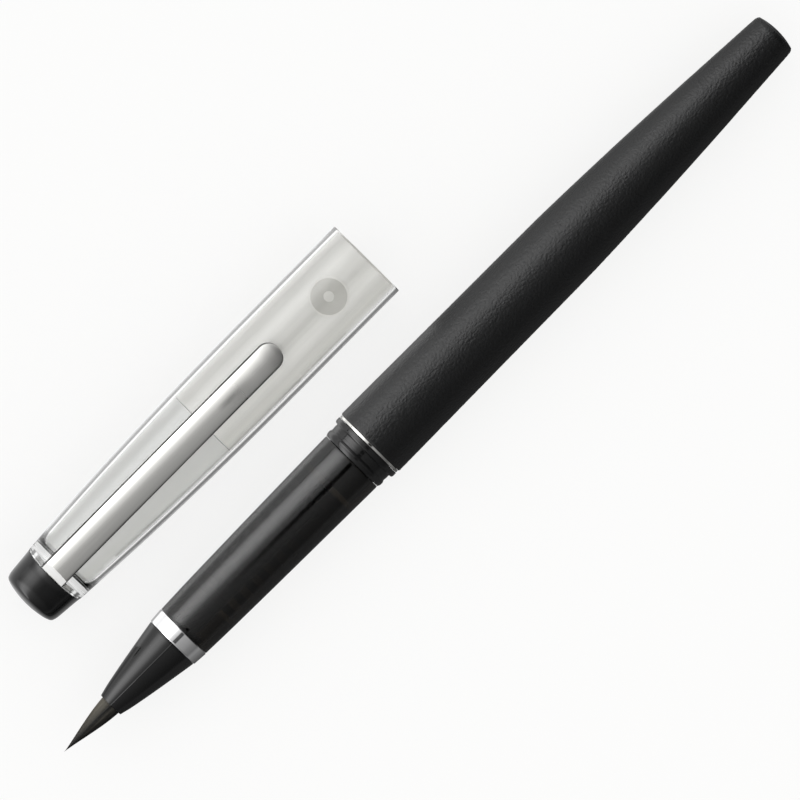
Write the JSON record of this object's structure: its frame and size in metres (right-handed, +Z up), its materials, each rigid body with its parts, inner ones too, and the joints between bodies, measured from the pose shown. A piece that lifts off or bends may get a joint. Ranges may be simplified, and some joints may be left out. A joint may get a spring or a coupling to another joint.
{
  "type": "brush pen",
  "caption": "Refillable brush pen lying uncapped: tapered tuft in a conical nozzle, smoke grip section, grained barrel, and its clear-shelled cap with pocket clip laid beside it.",
  "frame": {"origin": "bottom centre of the whole object's box: under the middle of pen and cap, on the surface they lie on", "axes": "+X along the pen's axis from the tuft towards the barrel's closed end, +Y from the pen towards the cap, +Z up"},
  "size_m": [0.134, 0.0288, 0.0135],
  "materials": {
    "gloss_black": "polished black moulding",
    "smoke_plastic": "polished dark smoke-tinted clear plastic",
    "soft_black": "matte charcoal with a fine leather-like grain",
    "clear_plastic": "polished clear plastic",
    "satin_silver": "satin, fine lines along the axis",
    "chrome": "mirror",
    "steel": "polished, faintly drawn lengthwise",
    "hair": "fine tapered synthetic hairs, inked dark at the point",
    "fibre": "compressed fibre rod",
    "seal_rubber": "matte",
    "milky_plastic": "milky translucent moulding",
    "moulded_grey": "plain dark grey moulding"
  },
  "bodies": {
    "pen": {"nozzle": "gloss_black", "tuft_holder": "moulded_grey", "tuft_root": "hair", "section_ring": "chrome", "section_tube": "smoke_plastic", "section_collar": "gloss_black", "thread_seal": "seal_rubber", "ink_feed": "moulded_grey", "feed_wick": "fibre", "piercing_tube": "steel", "cartridge_socket": "moulded_grey"},
    "brush": {"brush_tuft": "hair"},
    "cartridge": {"cartridge_body": "milky_plastic", "cartridge_plug": "seal_rubber"},
    "ball": {"stirring_ball": "steel"},
    "barrel_carrier": {"barrel_insert": "moulded_grey"},
    "barrel": {"barrel_shell": "soft_black", "barrel_mouth_ring": "chrome"},
    "cap": {"cap_shell": "clear_plastic", "cap_sleeve": "satin_silver", "inner_cap": "satin_silver", "cap_finial": "gloss_black", "finial_stud": "steel", "clip_ring": "steel"},
    "clip": {"pocket_clip": "steel"}
  },
  "joints": [
    {"name": "brush_flex", "type": "hinge", "parent": "pen", "child": "brush", "pos_m": [-0.05871, -0.00902, 0.00537], "axis": [0, 0, 1], "range_deg": [-30, 30], "stiffness_Nm_per_rad": 0.001},
    {"name": "cartridge_pull", "type": "slide", "parent": "pen", "child": "cartridge", "axis": [1, 0, 0], "range_m": [0, 0.012]},
    {"name": "ball_roll", "type": "slide", "parent": "cartridge", "child": "ball", "axis": [1, 0, 0], "range_m": [-0.014, 0.014]},
    {"name": "barrel_draw", "type": "slide", "parent": "pen", "child": "barrel_carrier", "axis": [1, 0, 0], "range_m": [0, 0.045]},
    {"name": "barrel_unscrew", "type": "hinge", "parent": "barrel_carrier", "child": "barrel", "pos_m": [0, -0.00902, 0.00537], "axis": [1, 0, 0], "range_deg": [0, 1350]},
    {"name": "cap_slide", "type": "slide", "parent": "pen", "child": "cap", "axis": [-1, 0, 0], "range_m": [0, 0.0755]},
    {"name": "clip_flex", "type": "hinge", "parent": "cap", "child": "clip", "pos_m": [-0.05144, 0.00838, 0.0102], "axis": [0, -1, 0], "range_deg": [0, 4], "stiffness_Nm_per_rad": 3}
  ]
}
